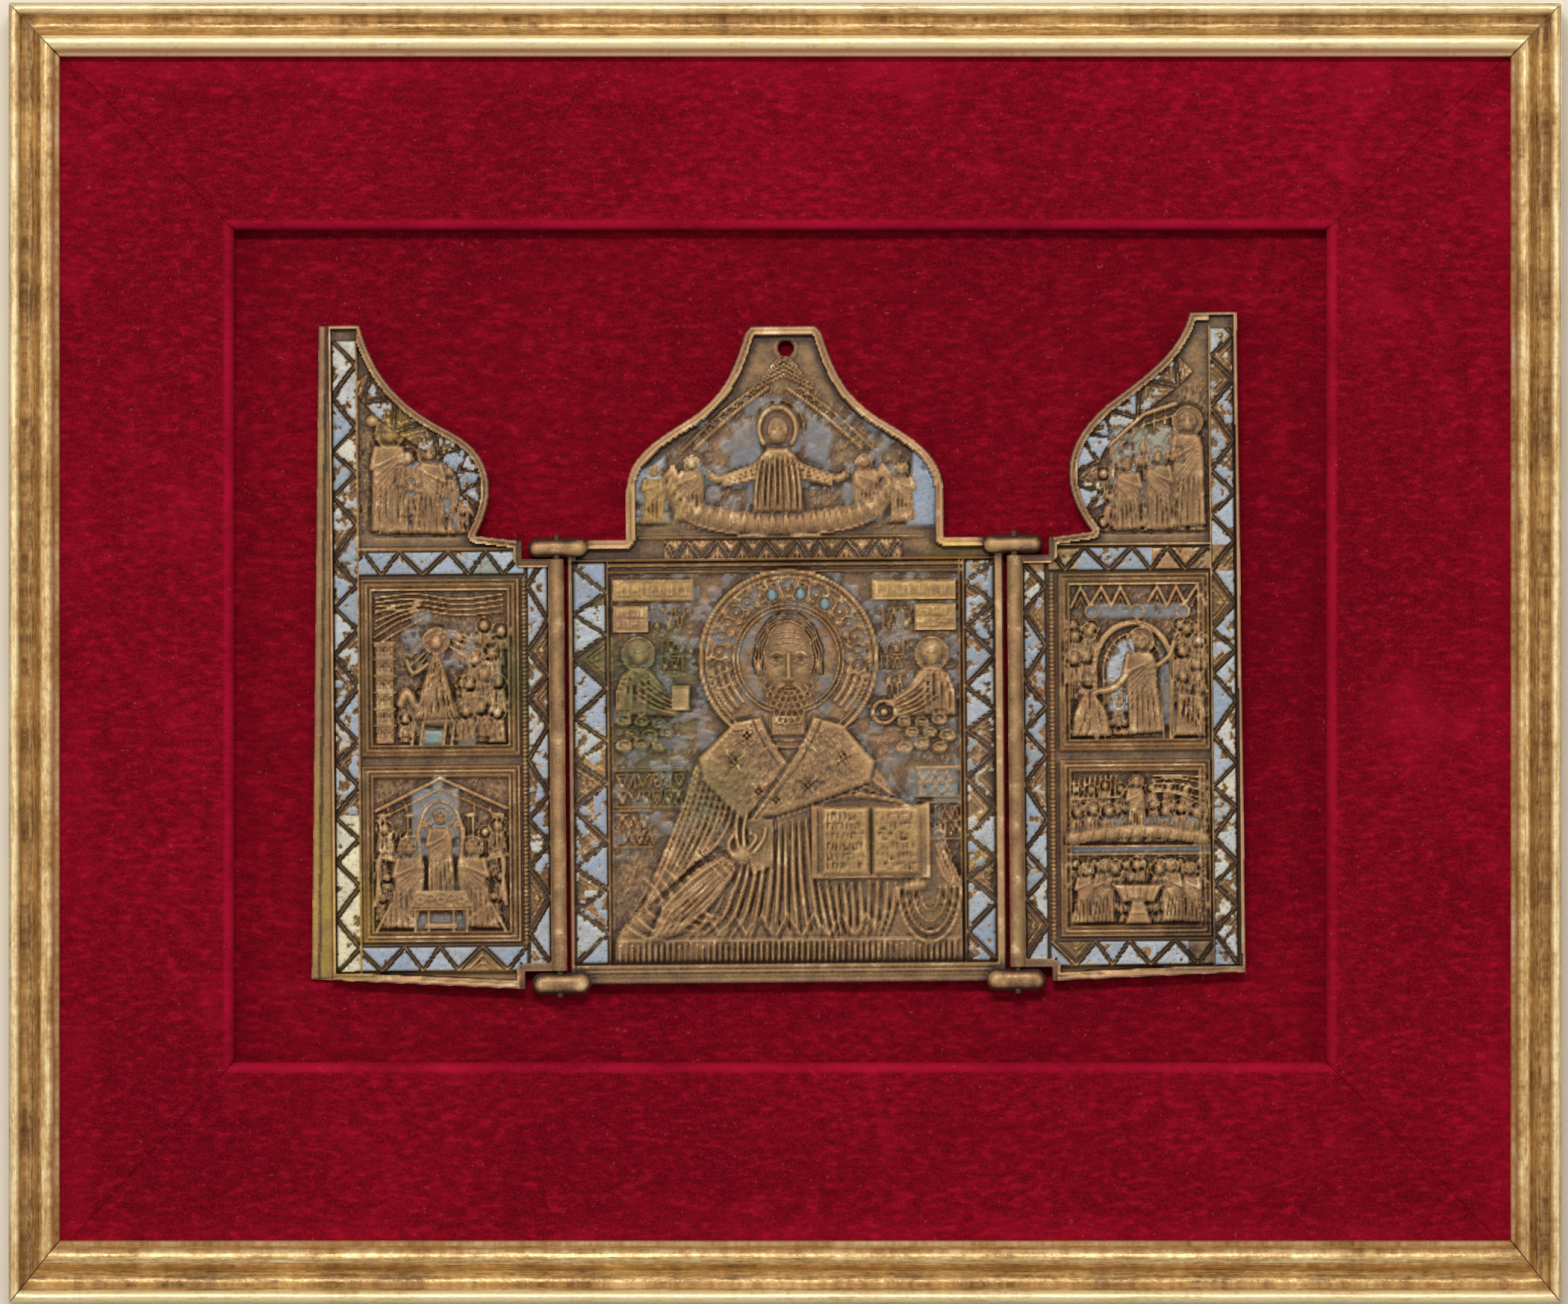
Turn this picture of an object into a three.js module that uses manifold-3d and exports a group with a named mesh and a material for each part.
// A small cast brass folding triptych, tied to a velvet ground in a gilt wooden frame.
//
// Millimetres. Everything is drawn facing the viewer, with x to the right, y up and z
// towards the viewer, and the whole group is then stood up, so that +Z is up and the
// front looks along -Y. The origin is the middle of the frame's flat back, which lies
// against the wall.
import * as THREE from "three";
import { mergeVertices } from "three/addons/utils/BufferGeometryUtils.js";
import Module from "manifold-3d";

const wasm = await Module();
wasm.setup();

const GAP = 0.3; // air between two pieces that touch

// ---- driving dimensions: the frame and its velvet boards
const frame = {
  sightWidth: 301.2,
  sightHeight: 248.2,
  face: 13, // width of a rail, seen from the front
  rabbet: 6, // how far the rabbet reaches behind the face
  rabbetDepth: 8.7,
  outerHeight: 17.4,
};
const backing = { thickness: 2.5 };
const ground = { thickness: 2.5 };
const liner = {
  width: { top: 34.6, left: 34.1, bottom: 37.6, right: 36.2 },
  outerThickness: 2.6,
  innerThickness: 6.4,
  nose: 1.6,
};

// ---- driving dimensions: the triptych
const triptych = { x: 0.8, y: -69.6, tilt: 0.5 };
const centre = {
  halfWidth: 46,
  shoulder: 93.8,
  top: 138.7,
  crestHalfWidth: 33.6,
  thickness: 4.6,
  floor: 2.4,
  rim: 1.9,
};
const wing = {
  back: 1.2,
  floor: 2.8,
  rim: 1.7,
  freeRim: 0.8, // the rim along the free edge is narrower
  notch: 7.4,
  notchBottom: 2.9,
  notchTop: 89.9,
};
const hinge = { x: 48.3, z: 4.8, barrel: 1.6, bore: 0.95, pin: 0.75 };
const lug = { reach: 6, inside: 6.6, front: 6.6, topHeight: 4, bottomHeight: 4.6, below: 2.1 };
const hangingHole = { x: 0.5, y: 134, radius: 1.65 };
const lip = { overlap: 2.4, thickness: 0.85, relief: 0.25, topU: 49.9, bottomU: 52.6 };

// A wing's own outline: u runs from the hinge axis to the free edge.
const leftWing = {
  side: -1,
  freeTop: 47.9,
  freeBottom: 48,
  top: 139.6,
  tipU: 41.2,
  bottomInner: -0.9,
  bottomOuter: 1.3,
  shoulderInner: 93.8,
  shoulder: [17, 95],
  bulge: [[13.2, 102], [11.5, 111.5]],
  turn: [22.5, 117.2],
  sweep: [[33, 122.5], [38.5, 129]],
};
const rightWing = {
  side: 1,
  freeTop: 47.5,
  freeBottom: 48.2,
  top: 140.9,
  tipU: 37.6,
  bottomInner: -0.1,
  bottomOuter: 1.4,
  shoulderInner: 93.6,
  shoulder: [16.5, 94.8],
  bulge: [[10.8, 102.5], [8.5, 112]],
  turn: [20, 121.6],
  sweep: [[30, 128.8], [35.5, 133]],
};

// ---- relief shared by the panels
const rib = { width: 0.7, height: 1.1 };
const sceneFrame = { inner: 9.4, bottoms: [9.4, 48.6], height: 37.4, bar: 0.9 };
const sunk = 0.07; // how far a boss's widest line lies below the relief's floor
const innerStrip = { start: 2.4, end: 7.8 }; // the wings' strip beside the hinge
const band = { centre: 6.2, wing: 5 }; // the zigzag strips of enamel cells
const toothPitch = 11.6; // from one tooth of the zigzag to the next

// ---------------------------------------------------------------- solids
function solid(geometry) {
  const bare = geometry.clone();
  bare.deleteAttribute("normal");
  bare.deleteAttribute("uv");
  const merged = mergeVertices(bare, 1e-4);
  return new wasm.Manifold(
    new wasm.Mesh({
      numProp: 3,
      vertProperties: new Float32Array(merged.attributes.position.array),
      triVerts: new Uint32Array(merged.index.array),
    }),
  );
}

function geometryOf(made) {
  const mesh = made.getMesh();
  const geometry = new THREE.BufferGeometry();
  geometry.setAttribute("position", new THREE.BufferAttribute(new Float32Array(mesh.vertProperties), 3));
  geometry.setIndex(new THREE.BufferAttribute(new Uint32Array(mesh.triVerts), 1));
  const flat = geometry.toNonIndexed();
  flat.computeVertexNormals();
  return flat;
}

function piece(name, made, material) {
  const mesh = new THREE.Mesh(made.isBufferGeometry ? made : geometryOf(made), material);
  mesh.name = name;
  return mesh;
}

const shapeOf = (points) => new THREE.Shape(points.map(([x, y]) => new THREE.Vector2(x, y)));

// A flat outline, from z0 to z1.
function slab(points, z0, z1) {
  const shape = points instanceof THREE.Shape ? points : shapeOf(points);
  const geometry = new THREE.ExtrudeGeometry(shape, { depth: z1 - z0, bevelEnabled: false, curveSegments: 6 });
  return solid(geometry.translate(0, 0, z0));
}

const box = (x0, x1, y0, y1, z0, z1) => slab([[x0, y0], [x1, y0], [x1, y1], [x0, y1]], z0, z1);

// A rounded boss: an ellipsoid of which the front half shows above z.
function boss(x, y, rx, ry, height, z, sides = 8) {
  const ball = new THREE.SphereGeometry(1, sides, sides > 8 ? 6 : 4);
  ball.rotateX(Math.PI / 2).scale(rx, ry, height);
  return solid(ball.translate(x, y, z - sunk));
}

function ring(x, y, outer, inner, z0, z1, sides = 20) {
  const disc = (r) =>
    Array.from({ length: sides }, (_, i) => {
      const a = (2 * Math.PI * i) / sides;
      return [x + r * Math.cos(a), y + r * Math.sin(a)];
    });
  const full = slab(disc(outer), z0, z1);
  return inner > 0 ? full.subtract(slab(disc(inner), z0 - 1, z1 + 1)) : full;
}

const join = (parts) => parts.reduce((a, b) => a.add(b));

// The outline of an open line drawn with a pen of the given width, mitred at its bends.
function stroke(line, width) {
  const side = (sign) =>
    line.map(([x, y], i) => {
      const [ax, ay] = line[Math.max(i - 1, 0)];
      const [bx, by] = line[Math.min(i + 1, line.length - 1)];
      const unit = (dx, dy) => {
        const n = Math.hypot(dx, dy) || 1;
        return [dx / n, dy / n];
      };
      const first = i > 0 ? unit(x - ax, y - ay) : unit(bx - x, by - y);
      const second = i < line.length - 1 ? unit(bx - x, by - y) : first;
      const nx = -(first[1] + second[1]) / 2;
      const ny = (first[0] + second[0]) / 2;
      const reach = (sign * width) / 2 / Math.max(nx * nx + ny * ny, 0.2);
      return [x + nx * reach, y + ny * reach];
    });
  return [...side(1), ...side(-1).reverse()];
}

const drawn = (line, z0, z1, width = rib.width) => slab(stroke(line, width), z0, z1);

// A closed outline moved inwards by d.
function inset(points, d) {
  const turning = Math.sign(THREE.ShapeUtils.area(points.map(([x, y]) => new THREE.Vector2(x, y))));
  const count = points.length;
  return points.map(([x, y], i) => {
    const [ax, ay] = points[(i + count - 1) % count];
    const [bx, by] = points[(i + 1) % count];
    const na = Math.hypot(x - ax, y - ay);
    const nb = Math.hypot(bx - x, by - y);
    const first = [(x - ax) / na, (y - ay) / na];
    const second = [(bx - x) / nb, (by - y) / nb];
    const nx = (-(first[1] + second[1]) / 2) * turning;
    const ny = ((first[0] + second[0]) / 2) * turning;
    const reach = d / Math.max(nx * nx + ny * ny, 0.25);
    return [x + nx * reach, y + ny * reach];
  });
}

function bezier(start, c1, c2, end, steps = 6) {
  const v = (p) => new THREE.Vector2(...p);
  const curve = new THREE.CubicBezierCurve(v(start), v(c1), v(c2), v(end));
  return curve.getPoints(steps).map((p) => [p.x, p.y]);
}

// A zigzag between two lines that run side by side.
function zigzag(sideA, sideB, z0, z1) {
  const path = (side) => new THREE.CurvePath();
  const along = (side) => {
    const curve = path(side);
    for (let i = 1; i < side.length; i++)
      curve.add(new THREE.LineCurve(new THREE.Vector2(...side[i - 1]), new THREE.Vector2(...side[i])));
    return curve;
  };
  const [a, b] = [along(sideA), along(sideB)];
  const teeth = 2 * Math.round(a.getLength() / toothPitch);
  const line = Array.from({ length: teeth + 1 }, (_, i) => {
    const p = (i % 2 ? b : a).getPointAt(i / teeth);
    return [p.x, p.y];
  });
  return drawn(line, z0, z1);
}

// ---------------------------------------------------------------- gilt frame and velvet boards
// A board or rail whose section is drawn with s from its outer edge and h above the wall.
// Its ends are mitred: for each unit of s, the left and right ends draw in by cuts[0] and
// cuts[1], which is 1 where both boards at a corner are equally wide.
function mitred(section, halfLength, sideDistance, cuts = [1, 1]) {
  const bar = new THREE.ExtrudeGeometry(shapeOf(section), { depth: 1, bevelEnabled: false });
  const place = bar.attributes.position;
  for (let i = 0; i < place.count; i++) {
    const [s, h, end] = [place.getX(i), place.getY(i), place.getZ(i) > 0.5 ? -1 : 1];
    const cut = end < 0 ? cuts[0] : cuts[1];
    place.setXYZ(i, end * (halfLength - s * cut - GAP / 2), sideDistance - s, h);
  }
  return solid(bar);
}

function railSection() {
  const { face, rabbet, rabbetDepth, outerHeight } = frame;
  const arc = (cx, cy, rx, ry, from, to, steps) =>
    Array.from({ length: steps + 1 }, (_, i) => {
      const a = THREE.MathUtils.degToRad(from + ((to - from) * i) / steps);
      return [cx + rx * Math.cos(a), cy + ry * Math.sin(a)];
    });
  const outerBead = arc(1.5, outerHeight - 1.5, 1.5, 1.5, 180, 20, 6);
  const scoop = arc(5.9, outerHeight - 1.2, 2.6, 3, 195, 345, 6);
  const innerBead = arc(10.2, outerHeight - 3.6, 1.5, 1.6, 165, 0, 6);
  return [
    [0, 0],
    ...outerBead,
    ...scoop,
    ...innerBead,
    [11.9, outerHeight - 5.2],
    [face, outerHeight - 5.9],
    [face, rabbetDepth],
    [face - rabbet, rabbetDepth],
    [face - rabbet, 0],
  ].reverse();
}

function linerSection(base, full) {
  const { outerThickness, innerThickness, nose } = liner;
  const reach = frame.rabbet - GAP; // the part of the board that lies in the rabbet
  const top = base + innerThickness;
  const round = Array.from({ length: 5 }, (_, i) => {
    const a = (Math.PI / 2) * (i / 4);
    return [full - nose + nose * Math.sin(a), top - nose + nose * Math.cos(a)];
  });
  return [[0, base], [0, base + outerThickness], [reach + 1.5, base + outerThickness], ...round, [full, base]].reverse();
}

function frameGroup(gilt, board, velvet) {
  const group = new THREE.Group();
  const { face, rabbet, sightWidth, sightHeight } = frame;
  const halfW = sightWidth / 2;
  const halfH = sightHeight / 2;
  // each side with its turn, its sizes, and its neighbours at its own left and right ends
  const sides = [
    ["top", 0, halfW, halfH, "left", "right"],
    ["left", 90, halfH, halfW, "bottom", "top"],
    ["bottom", 180, halfW, halfH, "right", "left"],
    ["right", 270, halfH, halfW, "top", "bottom"],
  ];
  const linerBase = backing.thickness + ground.thickness + 2 * GAP;
  const inRabbet = rabbet - GAP;
  const boardWidth = (side) => liner.width[side] + inRabbet;
  for (const [side, turn, halfLength, distance, before, after] of sides) {
    const angle = THREE.MathUtils.degToRad(turn);
    const rail = piece(`frame_${side}`, mitred(railSection(), halfLength + face, distance + face), gilt);
    const width = boardWidth(side);
    const cuts = [boardWidth(before) / width, boardWidth(after) / width];
    const section = linerSection(linerBase, width);
    const velvetBoard = mitred(section, halfLength + inRabbet, distance + inRabbet, cuts);
    const strip = piece(`velvet_liner_${side}`, velvetBoard, velvet);
    rail.rotation.z = angle;
    strip.rotation.z = angle;
    group.add(rail, strip);
  }
  const panelW = halfW + inRabbet;
  const panelH = halfH + inRabbet;
  const { thickness } = backing;
  const front = thickness + GAP;
  group.add(
    piece("backing_board", box(-panelW, panelW, -panelH, panelH, 0, thickness), board),
    piece("velvet_ground", box(-panelW, panelW, -panelH, panelH, front, front + ground.thickness), velvet),
  );
  return group;
}

// ---------------------------------------------------------------- figures in low relief
// A robed standing figure with a halo, of the given height, on the relief's floor.
function figure(x, y, height, z, { halo = true, width = 0.3, lean = 0 } = {}) {
  const headRadius = height * 0.095;
  const headY = y + height - headRadius * 1.5;
  const half = height * width * 0.5;
  const headX = x + lean;
  const robe = slab(
    [
      [x - half, y],
      [x + half, y],
      [headX + half * 0.9, headY - headRadius * 2],
      [headX, headY - headRadius * 0.6],
      [headX - half * 0.9, headY - headRadius * 2],
    ],
    z - 0.5,
    z + 0.65,
  );
  const head = boss(headX, headY, headRadius, headRadius * 1.25, 1.2, z, 6);
  const parts = [robe, head];
  if (halo) parts.push(ring(headX, headY, headRadius * 2, 0, z - 0.5, z + 0.45, 8));
  return join(parts);
}

// A bust on a bank of cloud, for the two small figures beside the saint.
function bustOnCloud(x, y, z) {
  const shoulders = [[x - 4.6, y - 9], [x + 4.6, y - 9], [x + 3.6, y - 3.6], [x, y - 1.6], [x - 3.6, y - 3.6]];
  const cloud = Array.from({ length: 4 }, (_, i) => boss(x - 5.7 + i * 3.8, y - 10 - (i % 2), 2.1, 1.7, 1, z, 6));
  return join([
    ring(x, y, 3.7, 0, z - 0.5, z + 0.5, 14),
    slab(shoulders, z - 0.5, z + 0.8),
    boss(x, y, 1.9, 2.4, 1.5, z, 8),
    ...cloud,
  ]);
}

// ---------------------------------------------------------------- centre panel
function centreOutline() {
  const { halfWidth, shoulder, top, crestHalfWidth } = centre;
  const right = [
    [halfWidth, 0],
    [halfWidth, shoulder],
    [crestHalfWidth, shoulder],
    ...bezier([crestHalfWidth, 102.5], [crestHalfWidth, 109.5], [30.5, 113], [21.5, 118.3], 5),
    ...bezier([21.5, 118.3], [13, 123.2], [10.6, 129], [8.1, 137.2], 5).slice(1),
    [6.8, top],
  ];
  return [...right, ...right.map(([x, y]) => [-x, y]).reverse()];
}

function crestPocket() {
  const { shoulder, crestHalfWidth, top, rim } = centre;
  const outer = centreOutline().filter(([, y]) => y > shoulder + 1);
  const base = [[-crestHalfWidth, shoulder - 3.2 - rim], [crestHalfWidth, shoulder - 3.2 - rim]];
  return { points: inset([...base, ...outer], rim), top: top - rim };
}

function saint(z) {
  const haloY = 69.6;
  const body = [
    [-34, 4.2], [33, 4.2], [34, 20], [31, 34], [25, 46], [13, 53.5], [6, 57], [-6, 57], [-13, 54], [-22, 47],
    [-28, 36], [-32, 20],
  ];
  const stole = [
    [[-8.5, 56.5], [-15, 44], [2, 38]],
    [[8.5, 56.5], [16, 46], [-6, 33]],
    [[-6, 33], [-6, 5]],
  ];
  const folds = Array.from({ length: 7 }, (_, i) => {
    const x = -28 + i * 4;
    return [[x, 5], [x + 1.4, 20 + (i % 3) * 3], [x + 4.2, 30 + i]];
  });
  const book = { x0: 7.2, x1: 28, y0: 22.6, y1: 37.6 };
  const spine = (book.x0 + book.x1) / 2;
  const hand = { x: -9, y: 28 };
  return join([
    ring(0, haloY, 19.4, 17.9, z - 0.5, z + 1.3, 32),
    ring(0, haloY, 18.4, 0, z - 0.5, z + 0.5, 32),
    ring(0, haloY, 12.9, 12, z - 0.5, z + 0.95, 24),
    slab(body, z - 0.5, z + 0.9),
    boss(0, haloY, 8.2, 10.4, 1.6, z + 0.1, 14), // hair
    boss(0, haloY - 7.2, 6.4, 7.6, 1.6, z + 0.1, 12), // beard
    boss(0, haloY - 0.2, 5.6, 8.4, 2.15, z, 12), // face
    boss(0, haloY - 1.2, 0.8, 2.4, 2.22, z, 6), // nose
    ...stole.map((line) => drawn(line, z - 0.5, z + 1.35, 5.4)),
    ...folds.map((line) => drawn(line, z - 0.5, z + 1.2, 0.9)),
    box(book.x0 - 1.2, book.x1 + 1.2, book.y0 - 0.9, book.y1 + 0.9, z - 0.5, z + 1.45),
    box(book.x0, spine - 0.3, book.y0, book.y1, z - 0.5, z + 1.9),
    box(spine + 0.3, book.x1, book.y0, book.y1, z - 0.5, z + 1.9),
    boss(hand.x, hand.y, 2.6, 3.2, 2, z, 8), // the raised right hand
    ...[-1.5, -0.2, 1.1].map((x) => drawn([[hand.x + x, hand.y], [hand.x + x - 1, hand.y + 6.4]], z, z + 1.9, 1)),
    drawn([[-22, 12], [-20, 22], [-12, 27]], z - 0.5, z + 1.5, 4.6), // right sleeve
    drawn([[23, 21], [25, 11], [30, 7.5], [34, 12], [35, 20]], z - 0.5, z + 1.5, 1.3), // left sleeve
  ]);
}

function centrePanel() {
  const { thickness, floor, halfWidth, shoulder, rim } = centre;
  const z = floor;
  const pocketTop = shoulder - 4.4;
  const pocketBottom = 4;
  const inner = halfWidth - rim;
  const bandInner = inner - band.centre;
  const cut = (points) => slab(points, z, thickness + 2);
  const crest = crestPocket();
  const lugs = [-1, 1].flatMap((side) => {
    const x0 = side * (hinge.x - lug.inside);
    const x1 = side * (hinge.x + lug.reach);
    const pill = (y0, y1) => {
      const r = 1.4;
      const s = side;
      return [
        [x0, y0], [x1 - s * r, y0], [x1 - s * 0.4, y0 + 0.4], [x1, y0 + r],
        [x1, y1 - r], [x1 - s * 0.4, y1 - 0.4], [x1 - s * r, y1], [x0, y1],
      ];
    };
    return [
      slab(pill(shoulder + 0.5 - lug.topHeight, shoulder + 0.5), 0, lug.front),
      slab(pill(-lug.below, lug.bottomHeight - lug.below), 0, lug.front),
    ];
  });
  const pinHoles = [-1, 1].map((side) => {
    const rod = new THREE.CylinderGeometry(hinge.bore, hinge.bore, 120, 12);
    return solid(rod.translate(side * hinge.x, 45, hinge.z));
  });
  const bands = [-1, 1].flatMap((side) => [
    zigzag(
      [[side * inner, pocketBottom + 0.5], [side * inner, pocketTop - 0.5]],
      [[side * (bandInner + 0.5), pocketBottom + 0.5], [side * (bandInner + 0.5), pocketTop - 0.5]],
      z - 0.5,
      z + rib.height,
    ),
    drawn([[side * bandInner, pocketBottom], [side * bandInner, pocketTop]], z - 0.5, z + rib.height),
  ]);
  const flutes = Array.from({ length: 15 }, (_, i) => {
    const x = -25 + i * 3.5;
    return box(x, x + 1.7, pocketBottom - 0.3, pocketBottom + 4.6, z, z + 1.45);
  });
  const plates = [-1, 1].flatMap((side) => {
    const plate = (x0, x1, y0, y1) =>
      box(Math.min(side * x0, side * x1), Math.max(side * x0, side * x1), y0, y1, z - 0.5, z + 0.7);
    return [plate(19, 36.6, 83, 87.2), plate(28, 36.6, 77.2, 81.6), plate(27, 36.6, 42.5, 48), plate(29, 36.6, 36, 41)];
  });
  const crestY = shoulder + 7;
  const crestScene = [
    ring(0, crestY + 15, 5.4, 0, z - 0.5, z + 0.6, 16),
    boss(0, crestY + 15, 2.9, 3.8, 1.7, z, 10),
    slab([[-5, crestY + 2], [5, crestY + 2], [4.4, crestY + 9], [0, crestY + 12], [-4.4, crestY + 9]], z - 0.5, z + 1.1),
    ...[-1, 1].map((s) => drawn([[0, crestY + 8], [s * 8, crestY + 4.4], [s * 14, crestY + 8]], z - 0.5, z + 1.2, 2)),
    ...[-1, 1].map((s) => figure(s * 19, crestY - 2, 17, z)),
    ...Array.from({ length: 9 }, (_, i) => {
      const x = -16 + i * 4;
      return boss(x, crestY - 4 + (x * x) / 60, 2.4, 2.2, 1.2, z, 6);
    }),
  ];
  const field = slab(centreOutline(), 0, thickness)
    .subtract(cut([[-inner, pocketBottom], [inner, pocketBottom], [inner, pocketTop], [-inner, pocketTop]]))
    .subtract(cut(crest.points));
  const hole = ring(hangingHole.x, hangingHole.y, hangingHole.radius, 0, -1, thickness + 3, 18);
  const busts = [bustOnCloud(-30, 68.5, z), bustOnCloud(30, 68.5, z)];
  return join([field, ...lugs, ...bands, ...flutes, ...plates, ...crestScene, ...busts, saint(z)])
    .subtract(hole)
    .subtract(join(pinHoles));
}

// ---------------------------------------------------------------- wings
function wingOutline(w) {
  const at = ([u, y]) => [w.side * u, y];
  return [
    [0, wing.notchBottom],
    [wing.notch, wing.notchBottom],
    [wing.notch, w.bottomInner],
    [w.freeBottom, w.bottomOuter],
    [w.freeTop, w.top],
    [w.tipU, w.top],
    ...bezier([w.tipU, w.top], w.sweep[1], w.sweep[0], w.turn, 6).slice(1),
    ...bezier(w.turn, w.bulge[1], w.bulge[0], w.shoulder, 6).slice(1),
    [wing.notch, w.shoulderInner],
    [wing.notch, wing.notchTop],
    [0, wing.notchTop],
  ].map(at);
}

// Small standing, seated and kneeling groups; each list holds [u, y, height, lean].
const scenes = {
  entry: [[12.5, 51, 17, 0], [16.5, 50.5, 18, 0], [24.5, 56, 17, 0], [33, 51, 18, 0], [37, 51.5, 16, 0]],
  table: [[14.5, 13, 19, 2], [24.8, 24, 17, 0], [35, 13, 19, -2]],
  descent: [[13.5, 50.5, 13, 3], [20, 50, 9, 2], [26.5, 52, 26, 0], [34, 51, 18, -1], [38, 51, 16, 0]],
  bier: [[12.5, 11, 16, 1], [16.5, 10.5, 17, 0], [24.5, 27, 17, 0], [33, 10.5, 17, 0], [37, 11, 16, -1]],
};

function sceneFigures(list, side, z) {
  return list.map(([u, y, height, lean]) => figure(side * u, y, height, z, { lean: side * lean }));
}

function wingPanel(w, extra) {
  const z = wing.floor;
  const top = centre.thickness;
  const s = w.side;
  const outline = wingOutline(w);
  const pocket = inset(outline, wing.rim).map(([x, y]) => {
    const u = Math.abs(x);
    if (u < 3) return [s * innerStrip.start, y];
    return [u > 45 ? x + s * (wing.rim - wing.freeRim) : x, y];
  });
  const free = Math.min(w.freeTop, w.freeBottom) - wing.freeRim;
  const bandU = free - band.wing;
  const bar = (u0, u1, y0, y1, h = rib.height) =>
    box(Math.min(s * u0, s * u1), Math.max(s * u0, s * u1), y0, y1, z - 0.5, z + h);
  const bandTop = w.shoulderInner - wing.rim - 0.6;
  const bandBottom = bandTop - band.wing;
  const footTop = 8;
  const footBottom = 2.8;
  const inner = innerStrip.end;
  const line = (u0, y0, u1, y1) => [[s * u0, y0], [s * u1, y1]];
  const zig = (a, b) => zigzag(a, b, z - 0.5, z + rib.height - 0.2);
  // the rib and the zigzag that follow the curved edge of the half crest
  const curve = [
    ...bezier([w.tipU, w.top - 3], w.sweep[1], w.sweep[0], w.turn, 5).slice(2),
    ...bezier(w.turn, w.bulge[1], w.bulge[0], w.shoulder, 5).slice(1, -1),
  ].map(([u, y]) => [s * u, y]);
  const beside = (path, d) => {
    const both = stroke(path, 2 * d);
    const halfCount = path.length;
    return s > 0 ? both.slice(0, halfCount) : both.slice(halfCount).reverse();
  };
  const curveOuter = beside(curve, wing.rim + 0.2).slice(1);
  const curveInner = beside(curve, wing.rim + band.wing - 0.6).slice(1);
  const frames = sceneFrame.bottoms.flatMap((y0) => {
    const u0 = sceneFrame.inner;
    const u1 = bandU - 1.2;
    const y1 = y0 + sceneFrame.height;
    const b = sceneFrame.bar;
    return [bar(u0, u1, y0, y0 + b), bar(u0, u1, y1 - b, y1), bar(u0, u0 + b, y0, y1), bar(u1 - b, u1, y0, y1)];
  });
  const barrel = solid(
    new THREE.CylinderGeometry(hinge.barrel, hinge.barrel, wing.notchTop - wing.notchBottom, 14).translate(
      0, (wing.notchTop + wing.notchBottom) / 2, hinge.z,
    ),
  );
  const bore = solid(new THREE.CylinderGeometry(hinge.bore, hinge.bore, 110, 12).translate(0, 46, hinge.z));
  return join([
    slab(outline, wing.back, top).subtract(slab(pocket, z, top + 2)),
    barrel,
    bar(bandU - rib.width, bandU, 3, w.top - 3),
    bar(inner - rib.width, inner, wing.notchBottom + 1, wing.notchTop - 1),
    bar(inner, bandU, bandBottom, bandBottom + rib.width),
    bar(inner, bandU, bandTop, bandTop + rib.width),
    bar(inner, bandU, footTop, footTop + rib.width),
    zig(line(free, 3, free, w.top - 4), line(bandU, 3, bandU, w.top - 4)),
    zig(line(innerStrip.start, 5, innerStrip.start, 88), line(inner - 0.5, 5, inner - 0.5, 88)),
    zig(line(inner, bandTop, bandU, bandTop), line(inner, bandBottom, bandU, bandBottom)),
    zig(line(inner, footTop, bandU, footTop), line(inner, footBottom, bandU, footBottom)),
    drawn(curveInner, z - 0.5, z + rib.height),
    zig(curveOuter, curveInner),
    ...frames,
    ...extra(s, z),
  ]).subtract(bore);
}

// The left wing: two figures in the half crest, a rider and a crowd, and three at a table.
function leftExtra(s, z) {
  const top = [[33.5, 95, 23, 0], [25.5, 95, 18, 0]];
  const rider = boss(s * 24.5, 56, 5, 3.4, 1.3, z, 9);
  const hill = drawn([[s * 12, 66], [s * 20, 79], [s * 30, 82], [s * 37, 76]], z - 0.5, z + 0.9, 1.4);
  const table = box(s < 0 ? -30 : 19, s < 0 ? -19 : 30, 15, 24, z - 0.5, z + 1);
  const roof = drawn([[s * 14, 40], [s * 24.8, 44.5], [s * 35, 40]], z - 0.5, z + 0.9, 1.2);
  return [
    ...sceneFigures(top, s, z),
    ...sceneFigures(scenes.entry, s, z),
    ...sceneFigures(scenes.table, s, z),
    rider,
    hill,
    table,
    roof,
    ...overlapLip(s),
  ];
}

// The strip behind the left wing's free edge, which laps over the right wing when both are shut.
function overlapLip(s) {
  const bodyU = leftWing.freeBottom - lip.overlap;
  const strip = (u0, z0, z1) =>
    slab([[s * u0, 1.6], [s * lip.bottomU, 1.4], [s * lip.topU, leftWing.top], [s * u0, leftWing.top]], z0, z1);
  const under = wing.back - lip.thickness;
  return [
    strip(bodyU, under, wing.back - lip.relief),
    box(s * (leftWing.freeTop - 0.1), s * bodyU, 2.4, leftWing.top - 0.2, under, wing.back + 0.3),
  ];
}

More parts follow.
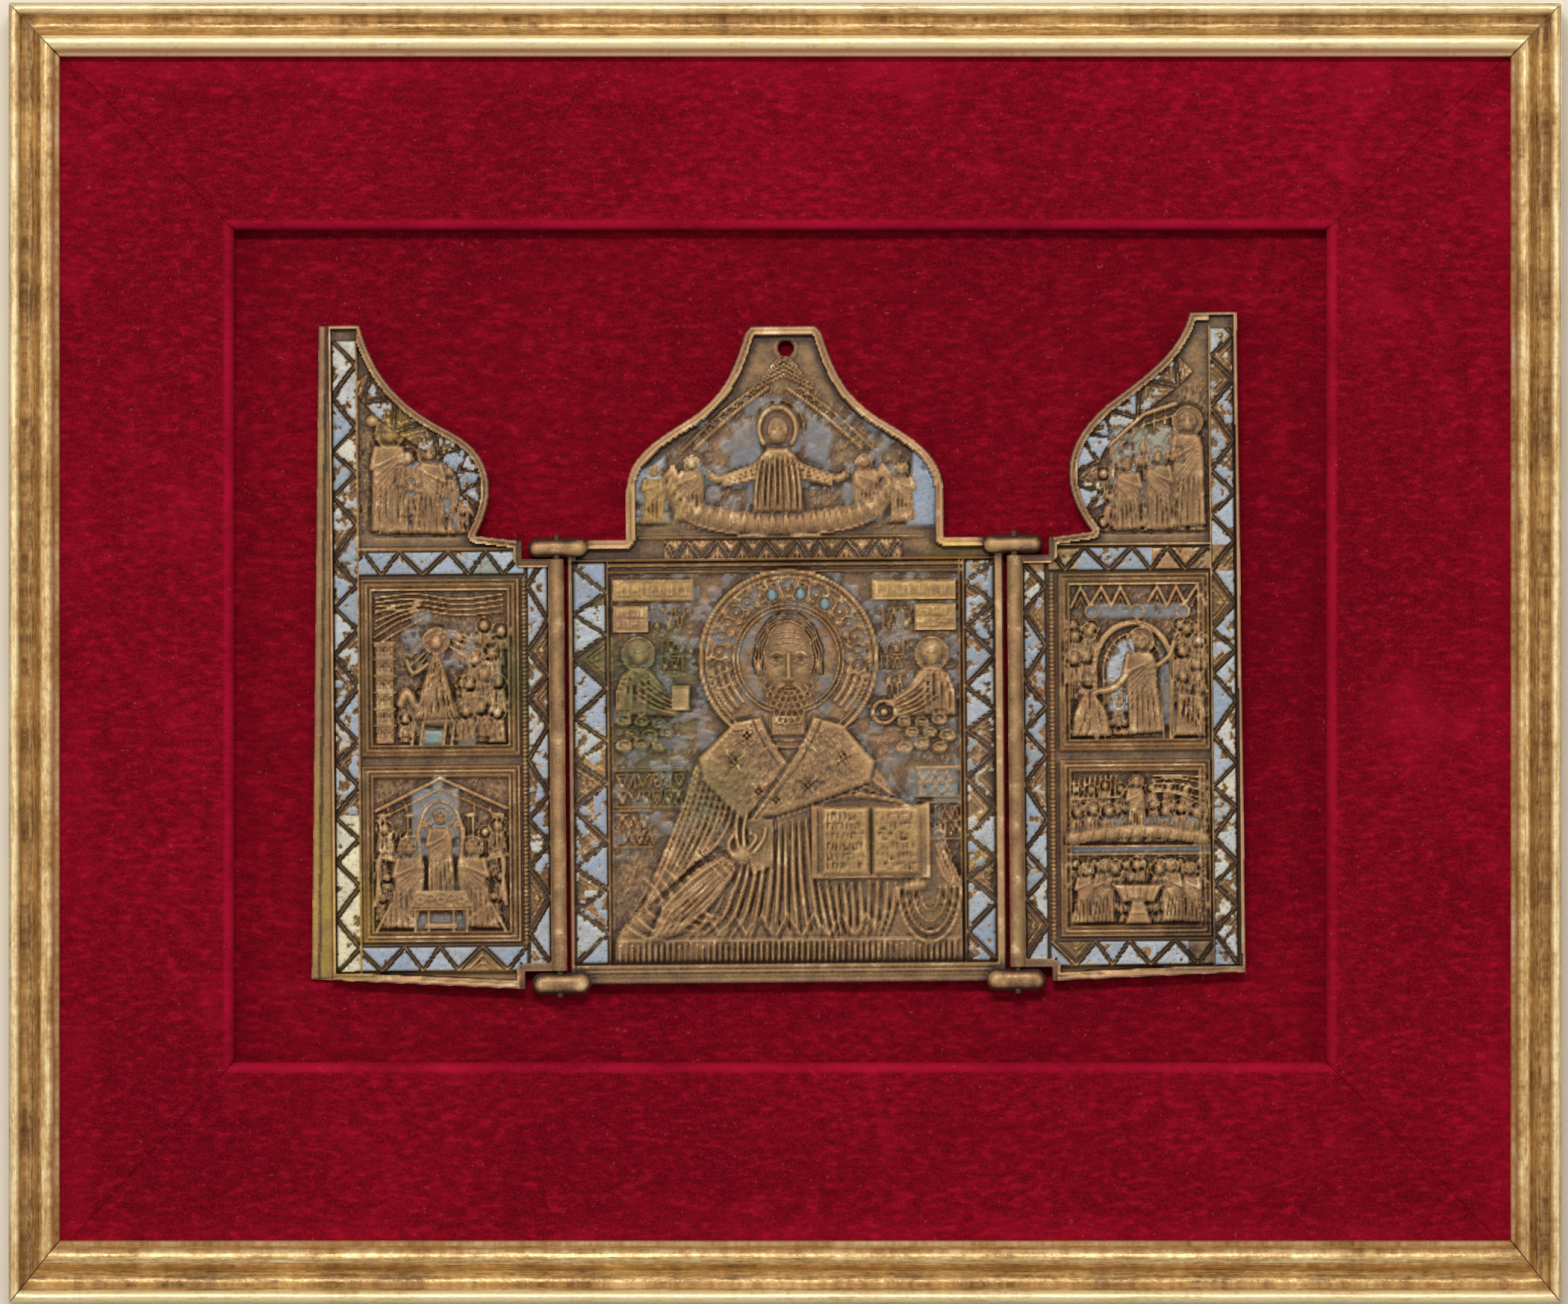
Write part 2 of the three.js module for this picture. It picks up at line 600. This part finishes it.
// The right wing: three figures in the half crest, a figure in an arch, and a bier.
function rightExtra(s, z) {
  const top = [[36, 95, 27, 0], [29, 95, 20, 0], [22, 95, 17, 0]];
  const arch = Array.from({ length: 9 }, (_, i) => {
    const a = Math.PI * (i / 8);
    return [s * (26.5 + 8 * Math.cos(a)), 68 + 11 * Math.sin(a)];
  });
  const mandorla = drawn([[arch[0][0], 55], ...arch, [arch[8][0], 55]], z - 0.5, z + 0.9, 1.2);
  const bier = drawn([[s * 14, 26], [s * 36, 27]], z - 0.5, z + 1.2, 3);
  const couch = box(s < 0 ? -33 : 16, s < 0 ? -16 : 33, 14, 22, z - 0.5, z + 0.7);
  return [
    ...sceneFigures(top, s, z),
    ...sceneFigures(scenes.descent, s, z),
    ...sceneFigures(scenes.bier, s, z),
    mandorla,
    bier,
    couch,
  ];
}

// ---------------------------------------------------------------- assembly
function triptychGroup(brass, iron) {
  const group = new THREE.Group();
  group.position.set(triptych.x, triptych.y, backing.thickness + ground.thickness + 2 * GAP);
  group.rotation.z = THREE.MathUtils.degToRad(triptych.tilt);
  group.add(piece("centre_panel", centrePanel(), brass));
  const wings = [
    ["left", leftWing, leftExtra],
    ["right", rightWing, rightExtra],
  ];
  for (const [name, w, extra] of wings) {
    const panel = piece(`${name}_wing`, wingPanel(w, extra), brass);
    panel.position.x = w.side * hinge.x;
    const bottom = -lug.below - 0.5;
    const length = centre.shoulder + 1.2 - bottom;
    const rod = new THREE.CylinderGeometry(hinge.pin, hinge.pin, length, 12);
    const pin = piece(`${name}_hinge_pin`, solid(rod), iron);
    pin.position.set(w.side * hinge.x, bottom + length / 2, hinge.z);
    group.add(panel, pin);
  }
  return group;
}

const gilt = new THREE.MeshStandardMaterial({ name: "gilt", color: 0xb8924e, metalness: 0.8, roughness: 0.38 });
const board = new THREE.MeshStandardMaterial({ name: "board", color: 0x6f5a41, metalness: 0, roughness: 0.85 });
const velvet = new THREE.MeshStandardMaterial({ name: "velvet", color: 0x7b0a1e, metalness: 0, roughness: 0.95 });
const brass = new THREE.MeshStandardMaterial({ name: "brass", color: 0x8c6c42, metalness: 0.85, roughness: 0.45 });
const iron = new THREE.MeshStandardMaterial({ name: "iron", color: 0x4b4239, metalness: 0.8, roughness: 0.6 });

const whole = new THREE.Group();
whole.add(frameGroup(gilt, board, velvet), triptychGroup(brass, iron));
whole.rotation.x = Math.PI / 2;

export default whole;
